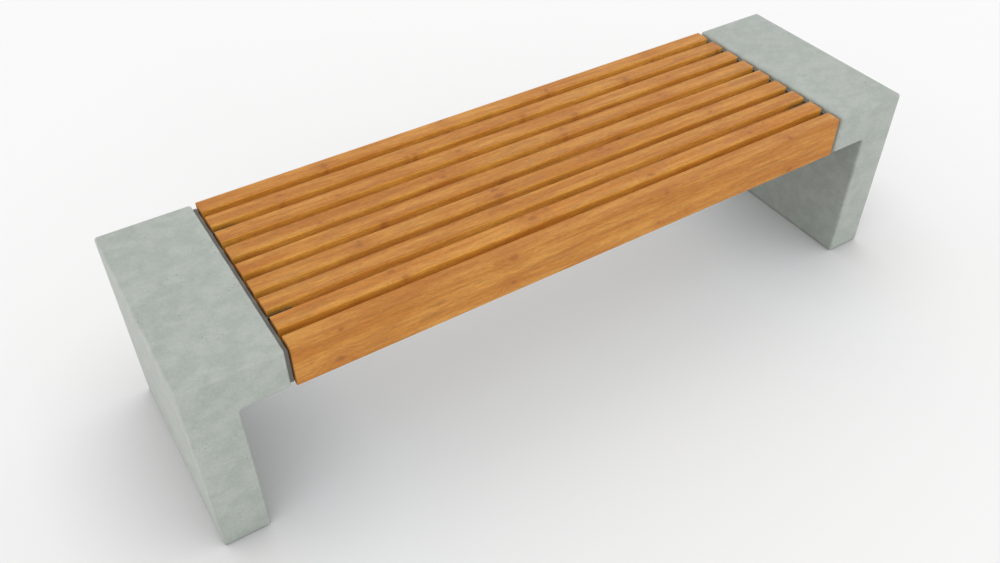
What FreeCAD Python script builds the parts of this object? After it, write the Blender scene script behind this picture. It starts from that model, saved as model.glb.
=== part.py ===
"""Garden bench: two precast concrete ends of inverted-L section, joined by a slatted timber deck.

Millimetres. X runs along the bench, -Y is the front, Z is up. The origin is on the ground, under the
middle of the bench. The bench is mirror-symmetric left to right, so most pieces are made for the
right-hand end (+X) and mirrored for the left.
"""

import FreeCAD
import Part
import math
import os

Vector = FreeCAD.Vector

# Whole bench
LENGTH = 1800.0
DEPTH = 500.0
SEAT_HEIGHT = 455.0

# Concrete ends
LEG_THICKNESS = 100.0
ARM_LENGTH = 201.0
ARM_DEPTH = 99.0
CONCRETE_ROUND = 7.0

# Timber deck: a deep board at the front and rear, and shallow slats between them
FASCIA_THICKNESS = 38.0
FASCIA_DEPTH = ARM_DEPTH
SLAT_WIDTH = 39.0
SLAT_DEPTH = 40.0
INNER_SLATS = 7
TIMBER_ROUND = 2.5
TIMBER_END_ROUND = 1.0
END_CLEARANCE = 2.0

# Steel end brackets: an upright plate with a shelf, webs and end tabs
PLATE_THICKNESS = 8.0
PLATE_SETBACK = 8.0
PLATE_TOP_SETBACK = 10.0
PLATE_BOTTOM_SETBACK = 7.0
PLATE_EDGE_ROUND = 1.0
SHELF_THICKNESS = 8.0
SHELF_WIDTH = 60.0
WEB_THICKNESS = 5.0
TAB_THICKNESS = 6.0
TAB_DEPTH = 36.0
WELD_LEG = 4.0

# Middle crossbar: a flat bar with both ends turned down
CROSSBAR_WIDTH = 50.0
CROSSBAR_THICKNESS = 6.0
CROSSBAR_BEND = 9.0

# Bracket bolts (M12), washers and the threaded sockets cast into the concrete
BOLT_RADIUS = 6.0
BOLT_HEAD_FLATS = 18.0
BOLT_HEAD_HEIGHT = 7.5
BOLT_CHAMFER = 0.5
BOLT_CHAMFER_RUN = 3.0  # how far a head chamfer runs inwards for each millimetre of height
BOLT_REACH = 34.0
BOLT_HOLE_RADIUS = 6.75
BOLT_SPREAD = 190.0
WASHER_RADIUS = 12.0
WASHER_THICKNESS = 2.5
SOCKET_OUTER_RADIUS = 9.0
SOCKET_LENGTH = 60.0
SOCKET_WALL_END = 6.0

# Ground anchor sockets (M16) in the underside of each leg
ANCHOR_RADIUS = 7.0
ANCHOR_OUTER_RADIUS = 12.0
ANCHOR_LENGTH = 80.0
ANCHOR_WALL_END = 8.0
ANCHOR_SPREAD = 150.0

# Slat screws (8 mm hex coach screws) and fascia screws (5 mm pan-head)
COACH_RADIUS = 4.0
COACH_FLATS = 13.0
COACH_HEAD = 5.5
COACH_FLANGE_RADIUS = 9.0
COACH_FLANGE = 1.5
COACH_GRIP = 30.0
COACH_HOLE_RADIUS = 4.5
COACH_INSET = 26.0
PAN_RADIUS = 2.5
PAN_HEAD_RADIUS = 4.75
PAN_HEAD = 3.2
PAN_GRIP = 26.0
PAN_HOLE_RADIUS = 2.9
PAN_SPREAD = 11.0
TIP_LENGTH = 5.0
TIP_SHARE = 0.25  # a screw tip's end, as a share of its shank

# How closely an edge has to run along an axis, or lie at a place, to be the one that is looked for
SAME_WAY = 0.999
SAME_PLACE = 0.01

# Worked-out places
HALF_LENGTH = LENGTH / 2
FRONT_Y = -DEPTH / 2
ARM_FACE_X = HALF_LENGTH - ARM_LENGTH
LEG_FACE_X = HALF_LENGTH - LEG_THICKNESS
LEG_MIDDLE_X = HALF_LENGTH - LEG_THICKNESS / 2
ARM_UNDERSIDE_Z = SEAT_HEIGHT - ARM_DEPTH
PLATE_FACE_X = ARM_FACE_X - PLATE_THICKNESS
DECK_END_X = PLATE_FACE_X - END_CLEARANCE
SHELF_EDGE_X = ARM_FACE_X - SHELF_WIDTH
PLATE_BOTTOM_Z = ARM_UNDERSIDE_Z + PLATE_BOTTOM_SETBACK
PLATE_TOP_Z = SEAT_HEIGHT - PLATE_TOP_SETBACK
SHELF_TOP_Z = SEAT_HEIGHT - SLAT_DEPTH
SHELF_UNDERSIDE_Z = SHELF_TOP_Z - SHELF_THICKNESS
TAB_BOTTOM_Z = SHELF_UNDERSIDE_Z - TAB_DEPTH
FASCIA_BACK_Y = DEPTH / 2 - FASCIA_THICKNESS
SLAT_GAP = (2 * FASCIA_BACK_Y - INNER_SLATS * SLAT_WIDTH) / (INNER_SLATS + 1)
SLAT_PITCH = SLAT_WIDTH + SLAT_GAP
SLAT_CENTRES = [(i - (INNER_SLATS - 1) / 2) * SLAT_PITCH for i in range(INNER_SLATS)]
WEB_Y = SLAT_CENTRES[-1] - SLAT_PITCH / 2
BOLT_Z = PLATE_BOTTOM_Z + (SHELF_UNDERSIDE_Z - PLATE_BOTTOM_Z) / 2
COACH_X = PLATE_FACE_X - COACH_INSET
PAN_Z = TAB_BOTTOM_Z + TAB_DEPTH / 2
PAN_CENTRE_X = (PLATE_FACE_X + SHELF_EDGE_X) / 2 - PAN_SPREAD / 2


def block(x0, x1, y0, y1, z0, z1):
    """A box from its lowest and highest corners."""
    return Part.makeBox(x1 - x0, y1 - y0, z1 - z0, Vector(x0, y0, z0))


def rod(radius, length, start, direction):
    """A cylinder that starts at a point and runs along a direction."""
    return Part.makeCylinder(radius, length, start, direction)


def hexagon(flats, height, start, direction):
    """A hexagonal bar, given by its width across flats."""
    radius = flats / math.sqrt(3)
    corners = []
    for i in range(7):
        angle = math.radians(60 * i)
        corners.append(Vector(radius * math.cos(angle), radius * math.sin(angle), 0))
    bar = Part.Face(Part.makePolygon(corners)).extrude(Vector(0, 0, height))
    bar.Placement = FreeCAD.Placement(start, FreeCAD.Rotation(Vector(0, 0, 1), direction))
    return bar


def along(edge, axis):
    """Whether a straight edge runs along an axis."""
    if not isinstance(edge.Curve, Part.Line):
        return False
    return abs(edge.tangentAt(edge.FirstParameter).dot(axis)) > SAME_WAY


def mirrored(shape):
    """The left-hand copy of a right-hand shape."""
    return shape.mirror(Vector(0, 0, 0), Vector(1, 0, 0))


def save(name, shape):
    """Writes one sub-part, and prints what it measures."""
    shape.exportStep("parts/" + name + ".step")
    box = shape.BoundBox
    size = "%.1f x %.1f x %.1f" % (box.XLength, box.YLength, box.ZLength)
    print(name, size, "solids", len(shape.Solids), "valid", shape.isValid())


def save_pair(name, shape):
    """Writes a right-hand sub-part and its left-hand mirror image."""
    save("right_" + name, shape)
    save("left_" + name, mirrored(shape))


def plate_bolt_starts(x):
    """The three bracket bolt centres, in the plane at a given x."""
    return [Vector(x, y, BOLT_Z) for y in (-BOLT_SPREAD, 0, BOLT_SPREAD)]


def anchor_starts():
    """The two ground anchor centres under the right-hand leg."""
    return [Vector(LEG_MIDDLE_X, y, 0) for y in (-ANCHOR_SPREAD, ANCHOR_SPREAD)]


def concrete_end():
    """Inverted L: a leg at the outer end, and an arm that reaches inwards at seat height."""
    outline = [
        Vector(HALF_LENGTH, FRONT_Y, 0),
        Vector(HALF_LENGTH, FRONT_Y, SEAT_HEIGHT),
        Vector(ARM_FACE_X, FRONT_Y, SEAT_HEIGHT),
        Vector(ARM_FACE_X, FRONT_Y, ARM_UNDERSIDE_Z),
        Vector(LEG_FACE_X, FRONT_Y, ARM_UNDERSIDE_Z),
        Vector(LEG_FACE_X, FRONT_Y, 0),
    ]
    face = Part.Face(Part.makePolygon(outline + outline[:1]))
    body = face.extrude(Vector(0, DEPTH, 0))
    body = body.makeFillet(CONCRETE_ROUND, body.Edges)
    for start in plate_bolt_starts(ARM_FACE_X):
        body = body.cut(rod(SOCKET_OUTER_RADIUS, SOCKET_LENGTH, start, Vector(1, 0, 0)))
    for start in anchor_starts():
        body = body.cut(rod(ANCHOR_OUTER_RADIUS, ANCHOR_LENGTH, start, Vector(0, 0, 1)))
    return body


def threaded_sockets(starts, direction, outer, bore, length, closed_end):
    """Steel sockets cast into the concrete, each a sleeve with a blind bore."""
    sockets = []
    for start in starts:
        sleeve = rod(outer, length, start, direction)
        sockets.append(sleeve.cut(rod(bore, length - closed_end, start, direction)))
    return Part.makeCompound(sockets)


def weld_bead(length, corner, run, leg_a, leg_b):
    """A fillet weld: a small triangular bead that runs along an inside corner."""
    points = [corner, corner + leg_a * WELD_LEG, corner + leg_b * WELD_LEG, corner]
    return Part.Face(Part.makePolygon(points)).extrude(run * length)


def end_bracket():
    """Welded bracket: upright plate, shelf under the slats, two webs and two end tabs."""
    plate_y = DEPTH / 2 - PLATE_SETBACK
    plate = block(PLATE_FACE_X, ARM_FACE_X, -plate_y, plate_y, PLATE_BOTTOM_Z, PLATE_TOP_Z)
    plate = plate.makeFillet(PLATE_EDGE_ROUND, [e for e in plate.Edges if along(e, Vector(0, 1, 0))])
    shelf = block(
        SHELF_EDGE_X, PLATE_FACE_X, -FASCIA_BACK_Y, FASCIA_BACK_Y, SHELF_UNDERSIDE_Z, SHELF_TOP_Z
    )
    bracket = plate.fuse(shelf)
    for side in (-1, 1):
        bracket = bracket.fuse(web(side * WEB_Y))
        bracket = bracket.fuse(end_tab(side))
        bracket = bracket.fuse(shelf_weld(side))
    bracket = bracket.removeSplitter()
    for start in plate_bolt_starts(PLATE_FACE_X):
        bracket = bracket.cut(rod(BOLT_HOLE_RADIUS, PLATE_THICKNESS, start, Vector(1, 0, 0)))
    for y in SLAT_CENTRES:
        start = Vector(COACH_X, y, SHELF_UNDERSIDE_Z)
        bracket = bracket.cut(rod(COACH_HOLE_RADIUS, SHELF_THICKNESS, start, Vector(0, 0, 1)))
    for start, direction in tab_screw_places(PAN_CENTRE_X):
        hole = rod(PAN_HOLE_RADIUS, TAB_THICKNESS, start, direction)
        bracket = bracket.cut(hole)
    return bracket


def web(y):
    """A stiffening web: a flat above the shelf in a gap between slats, a gusset below it."""
    y0 = y - WEB_THICKNESS / 2
    y1 = y + WEB_THICKNESS / 2
    upper = block(SHELF_EDGE_X, PLATE_FACE_X, y0, y1, SHELF_TOP_Z, PLATE_TOP_Z)
    corners = [
        Vector(PLATE_FACE_X, y0, SHELF_UNDERSIDE_Z),
        Vector(SHELF_EDGE_X, y0, SHELF_UNDERSIDE_Z),
        Vector(PLATE_FACE_X, y0, TAB_BOTTOM_Z),
    ]
    lower = Part.Face(Part.makePolygon(corners + corners[:1])).extrude(Vector(0, WEB_THICKNESS, 0))
    return upper.fuse(lower)


def end_tab(side):
    """The tab under one end of the shelf, flat against the back of a deep board."""
    outer = side * FASCIA_BACK_Y
    inner = side * (FASCIA_BACK_Y - TAB_THICKNESS)
    y0, y1 = sorted((outer, inner))
    return block(SHELF_EDGE_X, PLATE_FACE_X, y0, y1, TAB_BOTTOM_Z, SHELF_UNDERSIDE_Z)


def shelf_weld(side):
    """The weld between the shelf's underside and the plate, from a web to the nearer tab."""
    start_y = WEB_Y + WEB_THICKNESS / 2
    length = FASCIA_BACK_Y - TAB_THICKNESS - start_y
    corner = Vector(PLATE_FACE_X, side * start_y, SHELF_UNDERSIDE_Z)
    return weld_bead(length, corner, Vector(0, side, 0), Vector(-1, 0, 0), Vector(0, 0, -1))


def tab_screw_places(centre_x):
    """Where pan-head screws enter the tabs, and which way they drive, at a front and rear pair."""
    places = []
    for side in (-1, 1):
        for x in (centre_x - PAN_SPREAD, centre_x + PAN_SPREAD):
            y = side * (FASCIA_BACK_Y - TAB_THICKNESS)
            places.append((Vector(x, y, PAN_Z), Vector(0, side, 0)))
    return places


def middle_crossbar():
    """A flat bar across the middle of the deck, bent down at both ends against the deep boards."""
    half = CROSSBAR_WIDTH / 2
    outer = block(-half, half, -FASCIA_BACK_Y, FASCIA_BACK_Y, TAB_BOTTOM_Z, SHELF_TOP_Z)
    inner_y = FASCIA_BACK_Y - CROSSBAR_THICKNESS
    inner_top = SHELF_TOP_Z - CROSSBAR_THICKNESS
    inner = block(-half, half, -inner_y, inner_y, TAB_BOTTOM_Z, inner_top)

    def bend_edges(shape, y, z):
        picked = []
        for edge in shape.Edges:
            box = edge.BoundBox
            at_bend = abs(abs(box.YMin) - y) < SAME_PLACE and abs(box.ZMin - z) < SAME_PLACE
            if at_bend and along(edge, Vector(1, 0, 0)):
                picked.append(edge)
        return picked

    outer = outer.makeFillet(CROSSBAR_BEND, bend_edges(outer, FASCIA_BACK_Y, SHELF_TOP_Z))
    inner_bend = CROSSBAR_BEND - CROSSBAR_THICKNESS
    inner = inner.makeFillet(inner_bend, bend_edges(inner, inner_y, inner_top))
    bar = outer.cut(inner)
    for y in SLAT_CENTRES:
        start = Vector(0, y, inner_top)
        bar = bar.cut(rod(COACH_HOLE_RADIUS, CROSSBAR_THICKNESS, start, Vector(0, 0, 1)))
    for start, direction in tab_screw_places(0):
        bar = bar.cut(rod(PAN_HOLE_RADIUS, TAB_THICKNESS, start, direction))
    return bar


def timber(y0, y1, z0):
    """One board of the deck, full length, with its long edges eased."""
    board = block(-DECK_END_X, DECK_END_X, y0, y1, z0, SEAT_HEIGHT)
    board = board.makeFillet(TIMBER_ROUND, [e for e in board.Edges if along(e, Vector(1, 0, 0))])

    def at_end(edge):
        return edge.BoundBox.XLength < SAME_PLACE

    return board.makeFillet(TIMBER_END_ROUND, [e for e in board.Edges if at_end(e)])


def fascia_board(side):
    """A deep board at the front (-1) or rear (+1), with pilot holes in its back."""
    y0, y1 = sorted((side * FASCIA_BACK_Y, side * DEPTH / 2))
    board = timber(y0, y1, SEAT_HEIGHT - FASCIA_DEPTH)
    for centre_x in (-PAN_CENTRE_X, 0, PAN_CENTRE_X):
        for start, direction in tab_screw_places(centre_x):
            if start.y * side > 0:
                board = board.cut(rod(PAN_RADIUS, TAB_THICKNESS + PAN_GRIP, start, direction))
    return board


def inner_slat(y):
    """One shallow slat, with pilot holes in its underside for the three supports."""
    slat = timber(y - SLAT_WIDTH / 2, y + SLAT_WIDTH / 2, SHELF_TOP_Z)
    for x in (-COACH_X, 0, COACH_X):
        slat = slat.cut(rod(COACH_RADIUS, COACH_GRIP, Vector(x, y, SHELF_TOP_Z), Vector(0, 0, 1)))
    return slat


def bracket_bolts():
    """Three hexagon bolts per end, from the plate into the sockets in the concrete."""
    bolts = []
    head_face_x = PLATE_FACE_X - WASHER_THICKNESS
    top_radius = BOLT_HEAD_FLATS / 2 - BOLT_CHAMFER
    base_radius = top_radius + BOLT_HEAD_HEIGHT * BOLT_CHAMFER_RUN
    for start in plate_bolt_starts(head_face_x):
        shank = rod(BOLT_RADIUS, BOLT_REACH, start, Vector(1, 0, 0))
        head = hexagon(BOLT_HEAD_FLATS, BOLT_HEAD_HEIGHT, start, Vector(-1, 0, 0))
        chamfer = Part.makeCone(base_radius, top_radius, BOLT_HEAD_HEIGHT, start, Vector(-1, 0, 0))
        bolts.append(shank.fuse(head.common(chamfer)))
    return Part.makeCompound(bolts)


def bracket_washers():
    """A flat washer under each bolt head."""
    washers = []
    for start in plate_bolt_starts(PLATE_FACE_X - WASHER_THICKNESS):
        disc = rod(WASHER_RADIUS, WASHER_THICKNESS, start, Vector(1, 0, 0))
        washers.append(disc.cut(rod(BOLT_HOLE_RADIUS, WASHER_THICKNESS, start, Vector(1, 0, 0))))
    return Part.makeCompound(washers)


def pointed_shank(radius, length, start, direction):
    """A screw's shank, with a tapered tip."""
    shank = rod(radius, length - TIP_LENGTH, start, direction)
    tip_start = start + direction * (length - TIP_LENGTH)
    tip = Part.makeCone(radius, radius * TIP_SHARE, TIP_LENGTH, tip_start, direction)
    return shank.fuse(tip)


def slat_screws(x, seat_z):
    """A row of flanged coach screws, driven up into the slats through a support."""
    screws = []
    up = Vector(0, 0, 1)
    for y in SLAT_CENTRES:
        start = Vector(x, y, seat_z)
        length = SHELF_TOP_Z - seat_z + COACH_GRIP
        shank = pointed_shank(COACH_RADIUS, length, start, up)
        flange = rod(COACH_FLANGE_RADIUS, COACH_FLANGE, start, -up)
        head = hexagon(COACH_FLATS, COACH_HEAD, start, -up)
        screws.append(shank.fuse(flange).fuse(head).removeSplitter())
    return Part.makeCompound(screws)


def fascia_screws(centre_x):
    """Pan-head screws, driven through the tabs into the backs of the deep boards."""
    screws = []
    for start, direction in tab_screw_places(centre_x):
        shank = pointed_shank(PAN_RADIUS, TAB_THICKNESS + PAN_GRIP, start, direction)
        dome = Part.makeSphere(PAN_HEAD_RADIUS, start)
        slab = rod(2 * PAN_HEAD_RADIUS, PAN_HEAD, start, -direction)
        screws.append(shank.fuse(dome.common(slab)).removeSplitter())
    return Part.makeCompound(screws)


os.makedirs("parts", exist_ok=True)

save_pair("concrete_end", concrete_end())
save_pair(
    "bracket_sockets",
    threaded_sockets(
        plate_bolt_starts(ARM_FACE_X),
        Vector(1, 0, 0),
        SOCKET_OUTER_RADIUS,
        BOLT_RADIUS,
        SOCKET_LENGTH,
        SOCKET_WALL_END,
    ),
)
save_pair(
    "ground_sockets",
    threaded_sockets(
        anchor_starts(),
        Vector(0, 0, 1),
        ANCHOR_OUTER_RADIUS,
        ANCHOR_RADIUS,
        ANCHOR_LENGTH,
        ANCHOR_WALL_END,
    ),
)
save_pair("end_bracket", end_bracket())
save_pair("bracket_bolts", bracket_bolts())
save_pair("bracket_washers", bracket_washers())
save_pair("slat_screws", slat_screws(COACH_X, SHELF_UNDERSIDE_Z))
save_pair("fascia_screws", fascia_screws(PAN_CENTRE_X))

save("front_fascia_board", fascia_board(-1))
save("rear_fascia_board", fascia_board(1))
for number, y in enumerate(SLAT_CENTRES, 1):
    save("seat_slat_%d" % number, inner_slat(y))

save("middle_crossbar", middle_crossbar())
save("middle_slat_screws", slat_screws(0, SHELF_TOP_Z - CROSSBAR_THICKNESS))
save("middle_fascia_screws", fascia_screws(0))
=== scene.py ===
"""The garden bench's looks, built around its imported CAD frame. Sizes are in metres."""

import math
import random

import bmesh
import bpy
import numpy as np
from mathutils import Matrix, Vector, noise


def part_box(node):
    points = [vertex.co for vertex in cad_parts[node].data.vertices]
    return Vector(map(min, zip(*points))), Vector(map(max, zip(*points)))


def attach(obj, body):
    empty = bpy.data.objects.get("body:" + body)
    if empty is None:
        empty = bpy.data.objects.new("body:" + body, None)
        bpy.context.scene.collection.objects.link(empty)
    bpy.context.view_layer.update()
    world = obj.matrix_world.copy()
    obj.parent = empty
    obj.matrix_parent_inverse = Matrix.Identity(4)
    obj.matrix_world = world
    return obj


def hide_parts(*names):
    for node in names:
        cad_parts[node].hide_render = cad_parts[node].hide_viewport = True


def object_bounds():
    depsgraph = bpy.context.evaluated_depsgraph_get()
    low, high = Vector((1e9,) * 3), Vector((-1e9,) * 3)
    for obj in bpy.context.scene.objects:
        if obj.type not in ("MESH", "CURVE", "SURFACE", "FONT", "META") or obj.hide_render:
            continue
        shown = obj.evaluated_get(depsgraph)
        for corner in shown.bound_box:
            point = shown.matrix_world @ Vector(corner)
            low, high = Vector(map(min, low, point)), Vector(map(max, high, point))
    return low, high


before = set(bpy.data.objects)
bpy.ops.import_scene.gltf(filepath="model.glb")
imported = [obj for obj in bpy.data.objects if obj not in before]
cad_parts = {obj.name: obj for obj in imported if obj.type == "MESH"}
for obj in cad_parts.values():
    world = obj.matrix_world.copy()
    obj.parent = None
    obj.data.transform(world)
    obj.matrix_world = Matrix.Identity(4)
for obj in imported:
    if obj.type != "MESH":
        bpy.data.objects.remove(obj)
CAD_LOW, CAD_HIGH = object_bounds()

# Camera: where it stands, which way it looks, and its lens.
CAMERA_PLACE = Vector((-1.0025, -1.4465, 1.6880))
CAMERA_YAW = math.radians(32.193)     # from +Y towards +X
CAMERA_PITCH = math.radians(-42.303)  # below level
CAMERA_ROLL = math.radians(-0.113)
SENSOR_WIDTH = 36.0
LENS = 34.662

# Concrete ends: an upright leg with an arm reaching inwards at its top.
LEG_THICKNESS = 0.100
ARM_DEPTH = 0.099
CONCRETE_ROUND = 0.007
CONCRETE_SPACING = 0.008
CONCRETE_UNEVEN = 0.0004
UNEVEN_WIDTH = 0.11
AIR_HOLES = 110
AIR_HOLE_SIZES = (0.0006, 0.0019)
AIR_HOLE_RISE = (0.1, 0.45)  # how far a hole's middle lies outside the surface, as a share of its size
FOOT_CHIPS = 7
FOOT_CHIP_SIZES = (0.0018, 0.0034)
SMOOTH_ANGLE = math.radians(38)
# Painted light and shade on the concrete: its outer faces are made paler and the inner faces of its legs
# darker.
OUTER_FACE_PAINTED_LIGHT = (1.16, 1.12, 1.145, 1.0)
INNER_LEG_PAINTED_SHADE_FROM = (0.72, 0.78)  # from the middle outwards, where the darker inner faces fade in
INNER_LEG_PAINTED_SHADE_BY = 0.20
PITS_PER_METRE = 210.0
# How far painted shade darkens the colour inside the small pits.
PIT_PAINTED_SHADE = 0.40
CONCRETE_BUMP = 0.00025
CONCRETE_SEED = 40

# Timber: long edges well eased, ends only just.
TIMBER_ROUND = 0.0025
TIMBER_END_ROUND = 0.0010
TIMBER_SPACING = (0.015, 0.004, 0.004)
TIMBER_UNEVEN = 0.00022
TIMBER_UNEVEN_WIDTHS = (0.35, 0.018, 0.018)
TIMBER_BUMP = 0.00022
TIMBER_SEED = 60
ROUND_STEPS = 4  # faces across each half of a rounded edge

TIMBER_NODES = ["front_fascia_board"] + [f"seat_slat_{i}" for i in range(1, 8)] + ["rear_fascia_board"]
KNOT_SPACINGS = {"front_fascia_board": 0.378}
USUAL_KNOT_SPACING = 0.303
FIRST_KNOTS = {"front_fascia_board": -0.585, "seat_slat_1": -0.435, "seat_slat_2": -0.460}
FASCIA_KNOTS_AT = (0.455, 0.375)  # the heights of the two knots of each stretch, on the outer face
SLAT_KNOT_LEAN = 0.5             # the most that a slat's knots lean from upright, in radians
KNOT_SIZES = (0.0045, 0.0085)

# The tree's heart line: behind and beside a deep board's middle, beside a slat's middle and below its top.
FASCIA_HEART_BEHIND = (0.05, 0.08)
FASCIA_HEART_ASIDE = 0.02
SLAT_HEART_BELOW = (0.05, 0.09)
SLAT_HEART_ASIDE = 0.025
GRAIN_STEP = 3.7                 # how far apart along the tree two boards come from
RING_WIDTH = 0.0042
TONES = {"seat_slat_1": 0.95, "rear_fascia_board": 0.9}
OUTER_BOARD_FACE = 0.248         # from here outwards a board's face is out in the open
# Painted light on the board sides in the gaps: their colour is made lighter and yellower.
GAP_SIDE_PAINTED_LIGHT = (1.36, 1.52, 1.24, 1.0)

# Studio light: the dome's strength all round, and what its sides add. The low lights fade upwards.
DOME_ALL = 0.98
DOME_LEFT = 0.40
DOME_REAR = 0.24
DOME_LOW_RIGHT = 3.4
DOME_LOW_FRONT = 0.6
DOME_LOW_FADE = 4.0

# Floor: painted shade darkens it close to the legs, and a painted cool tint under the deck cancels the
# warm light the timber bounces onto it.
FLOOR_HALF = 30.0
FLOOR_SHADE = 0.80
FLOOR_CLOUD = 0.004
FLOOR_PAINTED_SHADE_REACH = 0.30
FLOOR_PAINTED_SHADE_SHARE = 0.55
FLOOR_BOUNCE_REACH = 0.90
FLOOR_BOUNCE_SHARE = 1.9
# Painted light: a cool tint under the deck that cancels the timber's warm bounce light.
FLOOR_PAINTED_COOL_TINT = (0.985, 1.045, 1.080, 1.0)
FLOOR_PAINTED_COOL_WITHIN = (0.92, 0.65)  # from the ends inwards, where it fades in
OCCLUSION_SAMPLES = 8

# Painted shade on the brackets: inwards of this, their steel under the deck is darkened.
UNDER_DECK_END = 0.6905  # from here outwards a bracket is its upright plate
UNDER_DECK_FADE = 0.0005
STEEL_NODES = ["left_end_bracket", "right_end_bracket", "middle_crossbar"]


# ---- node trees ---------------------------------------------------------------------------------

def paint(red, green, blue):
    """A colour given as it looks on a screen, 0 to 255, as a shader takes it."""
    shares = [value / 255 for value in (red, green, blue)]
    return tuple(s / 12.92 if s <= 0.04045 else ((s + 0.055) / 1.055) ** 2.4 for s in shares) + (1.0,)


class Nodes:
    """Short calls that add shader nodes to a material's or the world's node tree."""

    def __init__(self, owner, shader):
        owner.use_nodes = True
        self.owner = owner
        self.tree = owner.node_tree
        self.shader = self.tree.nodes[shader]

    def feed(self, socket, value):
        """Links a socket to another, or sets its value."""
        if isinstance(value, bpy.types.NodeSocket):
            self.tree.links.new(value, socket)
        else:
            socket.default_value = value

    def node(self, kind, inputs, **settings):
        made = self.tree.nodes.new("ShaderNode" + kind)
        for key, value in settings.items():
            setattr(made, key, value)
        for key, value in inputs.items():
            self.feed(made.inputs[key], value)
        return made

    def place(self):
        """Where a point is on the bench, in metres."""
        return self.node("TexCoord", {}).outputs["Object"]

    def parts(self, vector):
        """The x, y and z of a vector."""
        return self.node("SeparateXYZ", {0: vector}).outputs

    def normal(self):
        """Which way the surface faces."""
        return self.node("NewGeometry", {}).outputs["Normal"]

    def from_middle(self, place):
        """How far a point is from the bench's middle, along its length."""
        return self.maths("ABSOLUTE", self.parts(place)[0])

    def open_sky(self, reach):
        """1 where nothing stands within a reach of a point, falling to 0 where it is shut in."""
        inputs = {"Distance": reach}
        return self.node("AmbientOcclusion", inputs, samples=OCCLUSION_SAMPLES).outputs["AO"]

    def stored(self, name, output="Fac"):
        """What the mesh stores under a name at each point."""
        return self.node("Attribute", {}, attribute_name=name).outputs[output]

    def scaled(self, place, scale):
        return self.node("VectorMath", {0: place, 1: scale}, operation="MULTIPLY").outputs[0]

    def cloud(self, place, scale, detail=2.0, roughness=0.5, distortion=0.0):
        """Soft noise from 0 to 1, mostly near 0.5. The scale is per metre, along each axis."""
        inputs = {"Vector": self.scaled(place, scale), "Scale": 1.0, "Detail": detail,
                  "Roughness": roughness, "Distortion": distortion}
        return self.node("TexNoise", inputs).outputs[0]

    def maths(self, operation, first, second=0.0, third=0.0):
        return self.node("Math", {0: first, 1: second, 2: third}, operation=operation).outputs[0]

    def span(self, value, low, high, start=0.0, end=1.0):
        """Turns low to high into start to end, with smooth ends."""
        inputs = {"Value": value, "From Min": low, "From Max": high, "To Min": start, "To Max": end}
        return self.node("MapRange", inputs, interpolation_type="SMOOTHSTEP").outputs[0]

    def mixed(self, share, first, second, blend="MIX"):
        made = self.node("Mix", {0: share, 6: first, 7: second}, data_type="RGBA", blend_type=blend)
        return made.outputs[2]

    def shaded(self, colour, brightness):
        """The colour times a grey number."""
        grey = self.node("CombineColor", {0: brightness, 1: brightness, 2: brightness}).outputs[0]
        return self.mixed(1.0, colour, grey, "MULTIPLY")

    def bump(self, height, depth):
        """A normal for a height from 0 to 1 that stands for a depth in metres."""
        return self.node("Bump", {"Height": height, "Strength": 1.0, "Distance": depth}).outputs[0]

    def sharp_edges(self, reach):
        """1 on sharp edges, falling to 0 at about that reach from them."""
        soft = self.node("Bevel", {"Radius": reach}, samples=6).outputs[0]
        both = {0: soft, 1: self.normal()}
        along = self.node("VectorMath", both, operation="DOT_PRODUCT").outputs["Value"]
        return self.span(along, 0.97, 0.80)

    def outwards(self, place):
        """How squarely a surface faces away from the bench's middle, along its length: -1 to 1."""
        side = self.maths("SIGN", self.parts(place)[0])
        return self.maths("MULTIPLY", self.parts(self.normal())[0], side)

    def finish(self, **inputs):
        """Sets the shader's own inputs, and returns the material or world."""
        for key, value in inputs.items():
            self.feed(self.shader.inputs[key.replace("_", " ")], value)
        return self.owner


def material_nodes(name):
    return Nodes(bpy.data.materials.new(name), "Principled BSDF")


# ---- materials ----------------------------------------------------------------------------------

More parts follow.
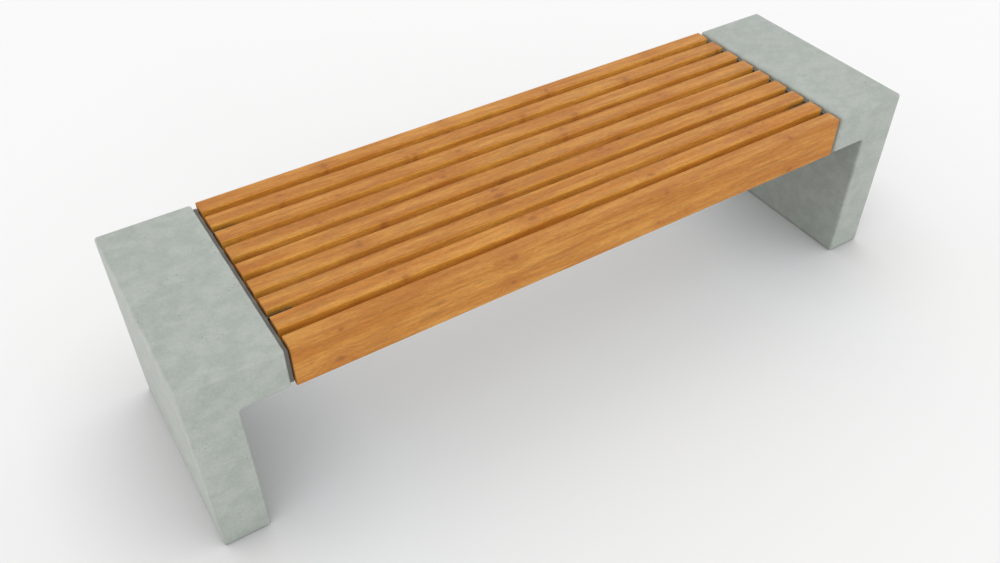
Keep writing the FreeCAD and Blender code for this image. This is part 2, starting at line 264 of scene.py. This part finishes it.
def concrete_finish():
    """Pale cast concrete: soft blotches, mottling, fine sand, groups of small pits darkened with painted
    shade, rubbed edges.

    Painted light makes the outer faces a little paler than the rest, and painted shade darkens the
    sheltered inner faces of the legs.
    """
    look = material_nodes("precast_concrete")
    place = look.place()
    clouds = look.cloud(place, (7.0, 7.0, 8.0), detail=2.0)
    patches = look.cloud(place, (27.0, 34.0, 38.0), detail=4.0, roughness=0.55)
    mottle = look.cloud(place, (120.0, 120.0, 120.0), detail=3.0, roughness=0.6)
    sand = look.cloud(place, (430.0, 430.0, 430.0), detail=2.0)
    body = look.mixed(look.span(patches, 0.34, 0.66), paint(152, 159, 152), paint(163, 169, 162))
    body = look.shaded(body, look.span(clouds, 0.28, 0.72, 0.982, 1.018))
    body = look.shaded(body, look.span(mottle, 0.28, 0.72, 0.970, 1.030))
    body = look.shaded(body, look.span(sand, 0.25, 0.75, 0.945, 1.055))
    # Painted shade on the legs' inner faces, and painted light on the outer faces.
    outwards = look.outwards(place)
    leg = look.span(look.from_middle(place), *INNER_LEG_PAINTED_SHADE_FROM)
    inner = look.maths("MULTIPLY", look.span(outwards, -0.3, -0.9), leg)
    body = look.shaded(body, look.maths("MULTIPLY_ADD", inner, -INNER_LEG_PAINTED_SHADE_BY, 1.0))
    outer_painted_light = look.mixed(1.0, body, OUTER_FACE_PAINTED_LIGHT, "MULTIPLY")
    body = look.mixed(look.span(outwards, 0.3, 0.9), body, outer_painted_light)

    # Small pits, dipped in the bump and darkened with painted shade inside them.
    cells = look.node("TexVoronoi", {"Vector": place, "Scale": PITS_PER_METRE})
    crowd = look.span(look.cloud(place, (15.0, 15.0, 15.0), detail=3.0), 0.50, 0.66)
    chance = look.node("SeparateColor", {0: cells.outputs["Color"]}).outputs[0]
    size = look.maths("MULTIPLY", look.span(chance, 0.35, 1.0, 0.0, 0.36), crowd)
    pit = look.span(look.maths("SUBTRACT", cells.outputs["Distance"], size), 0.03, -0.03)
    body = look.mixed(look.maths("MULTIPLY", pit, PIT_PAINTED_SHADE), body, paint(104, 101, 104))

    rubbed = look.maths("MULTIPLY", look.stored("edge"), look.span(patches, 0.35, 0.65, 0.02, 0.30))
    body = look.mixed(rubbed, body, paint(170, 175, 170))
    height = look.maths("SUBTRACT", look.maths("MULTIPLY", sand, 0.6), look.maths("MULTIPLY", pit, 0.4))
    return look.finish(Base_Color=body, Roughness=look.span(patches, 0.3, 0.7, 0.62, 0.76),
                       Normal=look.bump(height, CONCRETE_BUMP), Specular_IOR_Level=0.4)


def knots(look, cells, grain, lean, seed):
    """How close a point is to a knot, 1 in its heart, and the same over the wider swirl round it.

    A knot is a branch that leaves the tree's middle at an angle, one in each stretch of the board.
    """
    place, board, spacing = look.parts(cells)
    across = look.parts(grain)
    stretch = look.maths("ROUND", place)
    key = look.node("CombineXYZ", {0: stretch, 1: board, 2: seed}).outputs[0]
    chances = look.node("TexWhiteNoise", {"Vector": key}, noise_dimensions="3D").outputs["Color"]
    chance = look.node("SeparateColor", {0: chances}).outputs
    shift = look.maths("MULTIPLY_ADD", chance[0], 0.08, -0.04)
    run = look.maths("ADD", look.maths("SUBTRACT", place, stretch), shift)
    along = look.maths("MULTIPLY", run, spacing)
    angle = look.maths("ADD", lean, look.maths("MULTIPLY_ADD", chance[1], 0.30, -0.15))
    aside = look.maths("SUBTRACT", look.maths("MULTIPLY", across[1], look.maths("COSINE", angle)),
                       look.maths("MULTIPLY", across[2], look.maths("SINE", angle)))
    size = look.span(chance[2], 0.0, 1.0, *KNOT_SIZES)
    far = look.node("CombineXYZ", {0: look.maths("MULTIPLY", along, 0.62), 1: aside}).outputs[0]
    reach = look.node("VectorMath", {0: far}, operation="LENGTH").outputs["Value"]
    ragged = look.cloud(grain, (110.0, 160.0, 160.0), detail=3.0)
    reach = look.maths("ADD", reach, look.maths("MULTIPLY_ADD", ragged, 0.010, -0.005))
    reach = look.maths("DIVIDE", reach, size)
    return look.span(reach, 1.15, 0.3), look.span(reach, 5.0, 0.8)


def timber_finish():
    """Oiled softwood: growth rings round each board's own heart line, fibres, streaks and small knots.

    Painted light makes the sides in the gaps lighter and yellower, and painted shade makes the undersides
    darker and greyer.
    """
    look = material_nodes("oiled_timber")
    grain = look.stored("grain", "Vector")
    cells = look.stored("knots", "Vector")
    leans = look.parts(look.stored("lean", "Vector"))
    tone = look.stored("tone")
    heart, swirl = knots(look, cells, grain, leans[0], 1.0)
    second_heart, second_swirl = knots(look, cells, grain, leans[1], 2.0)
    heart = look.maths("MAXIMUM", heart, second_heart)
    swirl = look.maths("MAXIMUM", swirl, second_swirl)

    wander = look.cloud(grain, (1.6, 9.0, 9.0), detail=3.0, roughness=0.5)
    ripple = look.cloud(grain, (14.0, 60.0, 60.0), detail=2.0)
    across = look.scaled(grain, (0.0, 1.0, 1.0))
    radius = look.node("VectorMath", {0: across}, operation="LENGTH").outputs["Value"]
    radius = look.maths("MULTIPLY_ADD", wander, 0.034, radius)
    radius = look.maths("MULTIPLY_ADD", ripple, 0.0034, radius)
    radius = look.maths("MULTIPLY_ADD", swirl, 0.009, radius)
    ring = look.maths("FRACT", look.maths("MULTIPLY", radius, 1 / RING_WIDTH))
    late = look.maths("MULTIPLY", look.span(ring, 0.35, 0.86), look.span(ring, 1.0, 0.88))

    streak = look.cloud(grain, (3.2, 44.0, 44.0), detail=4.0, roughness=0.6)
    flame = look.cloud(grain, (11.0, 100.0, 100.0), detail=4.0, roughness=0.65)
    speck = look.cloud(grain, (75.0, 290.0, 290.0), detail=3.0, roughness=0.7)
    fibre = look.cloud(grain, (60.0, 520.0, 520.0), detail=2.0, roughness=0.6)
    dash = look.cloud(grain, (120.0, 1100.0, 1100.0), detail=0.0)

    body = look.mixed(look.span(streak, 0.32, 0.68), paint(173, 111, 43), paint(193, 137, 64))
    body = look.mixed(look.span(flame, 0.60, 0.34, 0.0, 0.45), body, paint(158, 93, 38))
    body = look.shaded(body, look.span(late, 0.0, 1.0, 1.030, 0.905))
    body = look.shaded(body, look.span(speck, 0.30, 0.70, 0.91, 1.09))
    body = look.shaded(body, look.span(fibre, 0.28, 0.72, 0.925, 1.075))
    body = look.shaded(body, look.span(dash, 0.62, 0.74, 1.0, 0.88))
    body = look.shaded(body, look.span(tone, 0.0, 1.0, 0.975, 1.055))
    body = look.mixed(look.maths("MULTIPLY", swirl, 0.35), body, paint(164, 99, 42))
    body = look.mixed(look.maths("MULTIPLY", heart, 0.50), body, paint(130, 72, 34))

    place = look.parts(look.place())
    facing = look.parts(look.normal())
    end = look.span(look.maths("ABSOLUTE", facing[0]), 0.6, 0.95)
    body = look.mixed(look.maths("MULTIPLY", end, 0.40), body, paint(124, 75, 30))
    # Painted light: the board sides inside the gaps, away from the open outer faces, are made lighter and
    # yellower.
    side = look.span(look.maths("ABSOLUTE", facing[1]), 0.55, 0.90)
    inside = look.span(look.maths("ABSOLUTE", place[1]), OUTER_BOARD_FACE, OUTER_BOARD_FACE - 0.001)
    gap_painted_light = look.mixed(1.0, body, GAP_SIDE_PAINTED_LIGHT, "MULTIPLY")
    body = look.mixed(look.maths("MULTIPLY", side, inside), body, gap_painted_light)
    # Painted shade: the undersides are made darker and greyer.
    underside_painted_shade = look.span(facing[2], -0.5, -0.9, 0.0, 0.5)
    body = look.mixed(underside_painted_shade, body, paint(112, 97, 82))
    rubbed = look.maths("MULTIPLY", look.stored("edge"), look.span(flame, 0.35, 0.65, 0.05, 0.30))
    body = look.mixed(rubbed, body, paint(192, 138, 72))

    height = look.maths("ADD", look.maths("MULTIPLY", late, 0.5), look.maths("MULTIPLY", fibre, 0.5))
    return look.finish(Base_Color=body, Roughness=look.span(late, 0.0, 1.0, 0.66, 0.55),
                       Normal=look.bump(height, TIMBER_BUMP), Specular_IOR_Level=0.25)


def steel_finish():
    """Painted steel: grey end plates, painted shade darkening what lies under the deck, thin paint on
    edges.
    """
    look = material_nodes("painted_steel")
    place = look.place()
    dust = look.cloud(place, (18.0, 18.0, 18.0), detail=4.0)
    peel = look.cloud(place, (520.0, 520.0, 520.0), detail=1.0)
    # Painted shade: the steel under the deck, inwards of the upright plates, is made much darker.
    plate = look.span(look.from_middle(place), UNDER_DECK_END - UNDER_DECK_FADE, UNDER_DECK_END)
    body = look.mixed(plate, paint(36, 35, 33), paint(102, 101, 95))
    body = look.shaded(body, look.span(dust, 0.3, 0.7, 0.92, 1.08))
    body = look.shaded(body, look.span(peel, 0.2, 0.8, 0.97, 1.03))
    worn = look.maths("MULTIPLY", look.sharp_edges(0.0012), look.span(dust, 0.35, 0.6, 0.05, 0.35))
    body = look.mixed(worn, body, paint(126, 125, 121))
    return look.finish(Base_Color=body, Roughness=look.span(dust, 0.3, 0.7, 0.46, 0.60),
                       Normal=look.bump(peel, 0.00012), Metallic=0.0)


def zinc_finish():
    """Zinc-plated steel: bright, with faint cloudy plating and duller patches."""
    look = material_nodes("zinc_plated_steel")
    place = look.place()
    plating = look.cloud(place, (90.0, 90.0, 90.0), detail=3.0)
    marks = look.cloud(place, (900.0, 900.0, 300.0), detail=1.0)
    body = look.mixed(look.span(plating, 0.3, 0.7), paint(176, 180, 186), paint(203, 206, 209))
    body = look.shaded(body, look.span(marks, 0.2, 0.8, 0.95, 1.03))
    worn = look.maths("MULTIPLY", look.sharp_edges(0.0006), 0.4)
    body = look.mixed(worn, body, paint(214, 215, 217))
    return look.finish(Base_Color=body, Roughness=look.span(plating, 0.3, 0.7, 0.30, 0.46),
                       Normal=look.bump(marks, 0.00005), Metallic=1.0)


def floor_finish():
    """Plain pale floor, with painted shade where the bench shuts off the light, and a painted cool tint
    that takes out the timber's warm glow.
    """
    look = material_nodes("studio_floor")
    place = look.place()
    cloud = look.cloud(place, (0.7, 0.7, 0.7), detail=2.0)
    shade = look.span(cloud, 0.3, 0.7, FLOOR_SHADE - FLOOR_CLOUD, FLOOR_SHADE + FLOOR_CLOUD)
    # Painted shade: the floor's colour is darkened where the bench shuts off the light close by.
    near = look.open_sky(FLOOR_PAINTED_SHADE_REACH)
    painted_contact_shade = look.maths("MULTIPLY_ADD", near, FLOOR_PAINTED_SHADE_SHARE, 1 - FLOOR_PAINTED_SHADE_SHARE)
    body = look.shaded((1.0, 1.0, 1.0, 1.0), look.maths("MULTIPLY", shade, painted_contact_shade))
    # Painted light: a cool tint under the deck cancels the warm light the timber bounces onto the floor.
    far = look.open_sky(FLOOR_BOUNCE_REACH)
    painted_cool_share = look.maths("MULTIPLY_ADD", far, -FLOOR_BOUNCE_SHARE, FLOOR_BOUNCE_SHARE)
    painted_cool_share = look.maths("MULTIPLY", painted_cool_share, look.span(look.from_middle(place), *FLOOR_PAINTED_COOL_WITHIN))
    painted_cool_tint = look.mixed(1.0, body, FLOOR_PAINTED_COOL_TINT, "MULTIPLY")
    return look.finish(Base_Color=look.mixed(painted_cool_share, body, painted_cool_tint), Roughness=0.9,
                       Specular_IOR_Level=0.1)


# ---- shapes -------------------------------------------------------------------------------------

def stops(edges, round_off, spacing):
    """Grid stops along one axis: closer over the rounded edges, even in between."""
    quarter = math.pi / 4
    near = [round_off * (1 - math.tan(quarter * k / ROUND_STEPS)) for k in range(ROUND_STEPS, -1, -1)]
    found = set()
    for low, high in zip(edges, edges[1:]):
        inside = high - low - 2 * round_off
        count = max(1, round(inside / spacing))
        found.update(low + reach for reach in near)
        found.update(low + round_off + inside * k / count for k in range(1, count))
        found.update(high - reach for reach in near)
    return np.array(sorted({round(value, 7) for value in found}))


def filled_cells(grid, blocks):
    """Which cells of the grid lie inside any of the blocks."""
    middles = np.meshgrid(*[(axis[1:] + axis[:-1]) / 2 for axis in grid], indexing="ij")
    inside = np.zeros(middles[0].shape, bool)
    for low, high in blocks:
        inside |= np.logical_and.reduce([(m > a) & (m < b) for m, a, b in zip(middles, low, high)])
    return inside


def skin(inside):
    """The quads between filled and empty cells, as grid indices of their corners, facing outwards."""
    padded = np.pad(inside, 1).astype(np.int8)
    quads = []
    for axis in range(3):
        first = np.eye(3, dtype=int)[(axis + 1) % 3]
        second = np.eye(3, dtype=int)[(axis + 2) % 3]
        change = np.diff(padded, axis=axis)
        for going in (-1, 1):
            corner = np.argwhere(change == going) - first - second
            ring = [corner, corner + first, corner + first + second, corner + second]
            quads.append(np.stack(ring if going == -1 else ring[::-1], axis=1))
    return np.concatenate(quads)


def rounded(points, blocks, radii):
    """Points of sharp blocks drawn in onto rounded ones, and how far round an edge each one is."""
    best = np.full(len(points), np.inf)
    reach = np.zeros_like(points)
    core = np.zeros_like(points)
    for low, high in blocks:
        near = np.clip(points, np.array(low) + radii, np.array(high) - radii)
        away = (points - near) / radii
        length = np.linalg.norm(away, axis=1)
        closer = length < best
        best[closer] = length[closer]
        core[closer] = near[closer]
        reach[closer] = away[closer] / length[closer, None]
    turned = (1 - np.abs(reach).max(axis=1)) / (1 - math.sqrt(0.5))
    return core + reach * radii, np.clip(turned, 0, 1)


def store(mesh, name, values, kind="FLOAT", field="value"):
    """Keeps one value or vector per point of the mesh, for its material to read."""
    layer = mesh.attributes.new(name, kind, "POINT")
    layer.data.foreach_set(field, np.asarray(values, np.float32).ravel())


def block_mesh(name, blocks, radii, spacing):
    """A finely divided mesh of one or more joined blocks with all their outer edges rounded."""
    grid = []
    for axis in range(3):
        edges = sorted({round(corner[axis], 6) for block in blocks for corner in block})
        grid.append(stops(edges, radii[axis], spacing[axis]))
    quads = skin(filled_cells(grid, blocks))
    shape = [len(axis) for axis in grid]
    keys = np.ravel_multi_index(quads.reshape(-1, 3).T, shape)
    used, corners = np.unique(keys, return_inverse=True)
    places = np.stack([axis[i] for axis, i in zip(grid, np.unravel_index(used, shape))], axis=1)
    places, turned = rounded(places, blocks, np.array(radii))
    mesh = bpy.data.meshes.new(name)
    mesh.from_pydata(places.tolist(), [], corners.reshape(-1, 4).tolist())
    mesh.shade_smooth()
    store(mesh, "edge", turned)
    return mesh


def points_of(mesh):
    flat = np.zeros(len(mesh.vertices) * 3, np.float32)
    mesh.vertices.foreach_get("co", flat)
    return flat.reshape(-1, 3).astype(float)


def set_points(mesh, places):
    mesh.vertices.foreach_set("co", np.asarray(places, np.float32).ravel())
    mesh.update()


def sink(mesh, depth, width):
    """Lowers the surface by up to a depth, unevenly, with hollows about as wide as given per axis."""
    places = points_of(mesh)
    normals = np.array([vertex.normal for vertex in mesh.vertices])
    scale = 1 / np.array(width)
    amounts = np.array([0.5 + 0.5 * noise.noise(Vector(place)) for place in places * scale])
    set_points(mesh, places - normals * (np.clip(amounts, 0, 1) * depth)[:, None])


def cove(mesh, corner_x, corner_z, towards, radius):
    """Rounds out the inner corner under the arm. towards is the direction the arm reaches in."""
    places = points_of(mesh)
    out = (places[:, 0] - corner_x) * towards
    down = corner_z - places[:, 2]
    depth = np.clip(-np.minimum(out, down), 0, None)
    run = np.clip(np.maximum(out, down), 0, radius)
    length = np.hypot(radius, radius - run)
    lift = radius - radius * radius / length
    slide = radius - radius * (radius - run) / length - run
    fade = np.clip(1 - depth / (2 * radius), 0, 1) * (np.maximum(out, down) < radius)
    on_leg = down >= out
    move_out = np.where(on_leg, lift, slide) * fade
    move_down = np.where(on_leg, slide, lift) * fade
    places[:, 0] += move_out * towards
    places[:, 2] -= move_down
    set_points(mesh, places)


def add_piece(name, mesh, material, replaced):
    """Puts a finished mesh into the scene in place of a CAD node."""
    piece = bpy.data.objects.new(name, mesh)
    bpy.context.scene.collection.objects.link(piece)
    mesh.materials.clear()
    mesh.materials.append(material)
    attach(piece, "root")
    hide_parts(replaced)
    return piece


def carve(mesh, cutter):
    """The mesh with the cutter's volume taken out of it."""
    body = bpy.data.objects.new("body", mesh)
    tool = bpy.data.objects.new("tool", cutter)
    for item in (body, tool):
        bpy.context.scene.collection.objects.link(item)
    cut = body.modifiers.new("cut", "BOOLEAN")
    cut.operation = "DIFFERENCE"
    cut.solver = "EXACT"
    cut.object = tool
    ready = body.evaluated_get(bpy.context.evaluated_depsgraph_get())
    result = bpy.data.meshes.new_from_object(ready)
    for item in (body, tool):
        bpy.data.objects.remove(item)
    result.set_sharp_from_angle(angle=SMOOTH_ANGLE)
    return result


def add_bubble(cutter, place, size, chance):
    """A small lopsided ball, to be taken out of a surface."""
    made = bmesh.ops.create_icosphere(cutter, subdivisions=2, radius=size)
    stretch = Matrix.Diagonal([chance.uniform(0.75, 1.25) for _ in range(3)]).to_4x4()
    turn = Matrix.Rotation(chance.uniform(0, math.tau), 4, Vector([chance.gauss(0, 1) for _ in range(3)]))
    bmesh.ops.transform(cutter, matrix=Matrix.Translation(place) @ turn @ stretch, verts=made["verts"])


def add_air_holes(cutter, mesh, chance):
    """Air holes over the flat faces, most of them small, never two in one place."""
    wide = [face for face in mesh.polygons if face.area > 0.6 * CONCRETE_SPACING ** 2]
    small, large = AIR_HOLE_SIZES
    for face in chance.sample(wide, AIR_HOLES):
        size = small + (large - small) * chance.random() ** 3
        add_bubble(cutter, face.center + face.normal * size * chance.uniform(*AIR_HOLE_RISE), size, chance)


def add_foot_chips(cutter, low, high, chance):
    """Small chips spaced round the bottom edge of a leg, well clear of each other."""
    inset = CONCRETE_ROUND * (1 - math.sqrt(0.5))
    wide, deep = high.x - low.x - 2 * inset, high.y - low.y - 2 * inset
    corner = Vector((low.x + inset, low.y + inset, inset))
    for k in range(FOOT_CHIPS):
        run = (k + chance.uniform(0.1, 0.9)) / FOOT_CHIPS * 2 * (wide + deep)
        if run < wide:
            step = (run, 0)
        elif run < wide + deep:
            step = (wide, run - wide)
        elif run < 2 * wide + deep:
            step = (2 * wide + deep - run, deep)
        else:
            step = (0, 2 * (wide + deep) - run)
        add_bubble(cutter, corner + Vector((*step, 0)), chance.uniform(*FOOT_CHIP_SIZES), chance)


def add_socket_holes(cutter, node, axis, count):
    """Round holes that the sockets of a CAD node fill, spread evenly over the node's box in Y."""
    low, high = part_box(node)
    depth = high[axis] - low[axis]
    other = 2 if axis == 0 else 0
    radius = (high[other] - low[other]) / 2
    for k in range(count):
        middle = (low + high) / 2
        middle.y = low.y + radius + (high.y - low.y - 2 * radius) * k / (count - 1)
        made = bmesh.ops.create_cone(cutter, cap_ends=True, segments=48, radius1=radius,
                                     radius2=radius, depth=depth + 2 * CONCRETE_ROUND)
        outwards = math.copysign(1, CAD_LOW[axis] + CAD_HIGH[axis] - low[axis] - high[axis] + 1e-9)
        middle[axis] += CONCRETE_ROUND * (outwards if axis == 0 else -1)
        turn = Matrix.Rotation(math.pi / 2, 4, "Y") if axis == 0 else Matrix.Identity(4)
        bmesh.ops.transform(cutter, matrix=Matrix.Translation(middle) @ turn, verts=made["verts"])


def concrete_end(side, material, chance):
    """One precast end, with its sockets' holes, air holes and a few chips at its feet."""
    node = f"{side}_concrete_end"
    low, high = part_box(node)
    inwards = 1 if side == "left" else -1
    outer, inner = (low.x, high.x) if side == "left" else (high.x, low.x)
    leg_inner = outer + inwards * LEG_THICKNESS
    leg = ((min(outer, leg_inner), low.y, low.z), (max(outer, leg_inner), high.y, high.z))
    arm = ((low.x, low.y, high.z - ARM_DEPTH), (high.x, high.y, high.z))
    mesh = block_mesh(f"{node}_cast", (leg, arm), (CONCRETE_ROUND,) * 3, (CONCRETE_SPACING,) * 3)
    cove(mesh, leg_inner, high.z - ARM_DEPTH, inwards, CONCRETE_ROUND)
    sink(mesh, CONCRETE_UNEVEN, (UNEVEN_WIDTH,) * 3)
    for dig in (
        lambda tool: add_socket_holes(tool, f"{side}_ground_sockets", 2, 2),
        lambda tool: add_socket_holes(tool, f"{side}_bracket_sockets", 0, 3),
        lambda tool: add_foot_chips(tool, Vector(leg[0]), Vector(leg[1]), chance),
        lambda tool: add_air_holes(tool, mesh, chance),
    ):
        cutter = bmesh.new()
        dig(cutter)
        tool_mesh = bpy.data.meshes.new("cutter")
        cutter.to_mesh(tool_mesh)
        cutter.free()
        mesh = carve(mesh, tool_mesh)
    mesh.name = f"{node}_cast"
    return add_piece(f"{node}_cast", mesh, material, node)


def timber_piece(node, number, material, chance):
    """One timber board or slat, with its place in the tree it was cut from stored on its mesh."""
    low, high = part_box(node)
    radii = (TIMBER_END_ROUND, TIMBER_ROUND, TIMBER_ROUND)
    mesh = block_mesh(f"{node}_timber", ((tuple(low), tuple(high)),), radii, TIMBER_SPACING)
    sink(mesh, TIMBER_UNEVEN, TIMBER_UNEVEN_WIDTHS)
    middle = (low + high) / 2
    if "fascia" in node:
        outer, inwards = (low.y, 1) if middle.y < 0 else (high.y, -1)
        behind = inwards * chance.uniform(*FASCIA_HEART_BEHIND)
        aside = chance.uniform(-FASCIA_HEART_ASIDE, FASCIA_HEART_ASIDE)
        heart = Vector((0, middle.y + behind, middle.z + aside))
        leans = [math.atan2(outer - heart.y, height - heart.z) for height in FASCIA_KNOTS_AT]
    else:
        aside = chance.uniform(-SLAT_HEART_ASIDE, SLAT_HEART_ASIDE)
        heart = Vector((0, middle.y + aside, high.z - chance.uniform(*SLAT_HEART_BELOW)))
        leans = [chance.uniform(-SLAT_KNOT_LEAN, 0.0), chance.uniform(0.0, SLAT_KNOT_LEAN)]
    places = points_of(mesh)
    grain = places - np.array(heart)
    grain[:, 0] += GRAIN_STEP * number + chance.uniform(0, 1)
    spacing = KNOT_SPACINGS.get(node, USUAL_KNOT_SPACING)
    first = FIRST_KNOTS.get(node, low.x + chance.uniform(0.05, 0.3))
    cells = np.stack([(places[:, 0] - first) / spacing, np.full(len(places), number),
                      np.full(len(places), spacing)], axis=1)
    store(mesh, "grain", grain, "FLOAT_VECTOR", "vector")
    store(mesh, "knots", cells, "FLOAT_VECTOR", "vector")
    store(mesh, "lean", np.tile((*leans, 0.0), (len(places), 1)), "FLOAT_VECTOR", "vector")
    store(mesh, "tone", np.full(len(places), TONES.get(node, chance.uniform(0.3, 0.5))))
    return add_piece(f"{node}_timber", mesh, material, node)


def repaint(node, material):
    """Gives a CAD node that keeps its own shape a better material."""
    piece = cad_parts[node]
    if not piece.material_slots:
        piece.data.materials.append(material)
    for place in piece.material_slots:
        place.material = material


# ---- studio -------------------------------------------------------------------------------------

def add_camera():
    """The camera, turned from its yaw, pitch and roll."""
    yaw, pitch, roll = CAMERA_YAW, CAMERA_PITCH, CAMERA_ROLL
    ahead = Vector((math.sin(yaw) * math.cos(pitch), math.cos(yaw) * math.cos(pitch), math.sin(pitch)))
    right = Vector((math.cos(yaw), -math.sin(yaw), 0))
    up = right.cross(ahead)
    rolled_right = right * math.cos(roll) + up * math.sin(roll)
    rolled_up = up * math.cos(roll) - right * math.sin(roll)
    camera = bpy.data.objects.new("camera", bpy.data.cameras.new("camera"))
    camera.data.sensor_width = SENSOR_WIDTH
    camera.data.lens = LENS
    pose = Matrix((rolled_right, rolled_up, -ahead)).transposed().to_4x4()
    pose.translation = CAMERA_PLACE
    camera.matrix_world = pose
    bpy.context.scene.collection.objects.link(camera)
    bpy.context.scene.camera = camera


def add_floor():
    mesh = bpy.data.meshes.new("floor")
    corners = [(x * FLOOR_HALF, y * FLOOR_HALF, 0) for x, y in ((-1, -1), (1, -1), (1, 1), (-1, 1))]
    mesh.from_pydata(corners, [], [(0, 1, 2, 3)])
    mesh.materials.append(floor_finish())
    floor = bpy.data.objects.new("floor", mesh)
    bpy.context.scene.collection.objects.link(floor)


def add_lights():
    """A soft studio dome, a little brighter at its left and rear, and low down at its right and front."""
    look = Nodes(bpy.data.worlds.new("studio"), "Background")
    x, y, z = look.parts(look.node("TexCoord", {}).outputs["Generated"])
    height = look.maths("MAXIMUM", z, 0.0)
    low_down = look.maths("POWER", look.maths("SUBTRACT", 1.0, height), DOME_LOW_FADE)
    right = look.maths("MAXIMUM", x, 0.0)
    left = look.maths("MAXIMUM", look.maths("MULTIPLY", x, -1.0), 0.0)
    rear = look.maths("MAXIMUM", y, 0.0)
    front = look.maths("MAXIMUM", look.maths("MULTIPLY", y, -1.0), 0.0)
    strength = look.maths("MULTIPLY_ADD", left, DOME_LEFT, DOME_ALL)
    strength = look.maths("MULTIPLY_ADD", rear, DOME_REAR, strength)
    low_right = look.maths("MULTIPLY", right, low_down)
    low_front = look.maths("MULTIPLY", front, low_down)
    strength = look.maths("MULTIPLY_ADD", low_right, DOME_LOW_RIGHT, strength)
    strength = look.maths("MULTIPLY_ADD", low_front, DOME_LOW_FRONT, strength)
    bpy.context.scene.world = look.finish(Color=(1.0, 1.0, 1.0, 1.0), Strength=strength)
    bpy.context.scene.view_settings.view_transform = "Standard"


def build():
    add_camera()
    add_floor()
    add_lights()
    concrete = concrete_finish()
    timber = timber_finish()
    steel = steel_finish()
    zinc = zinc_finish()
    for number, side in enumerate(("left", "right")):
        concrete_end(side, concrete, random.Random(CONCRETE_SEED + number))
    for number, node in enumerate(TIMBER_NODES):
        timber_piece(node, number, timber, random.Random(TIMBER_SEED + number))
    rebuilt = set(TIMBER_NODES) | {"left_concrete_end", "right_concrete_end"}
    for node in sorted(set(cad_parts) - rebuilt):
        repaint(node, steel if node in STEEL_NODES else zinc)


build()
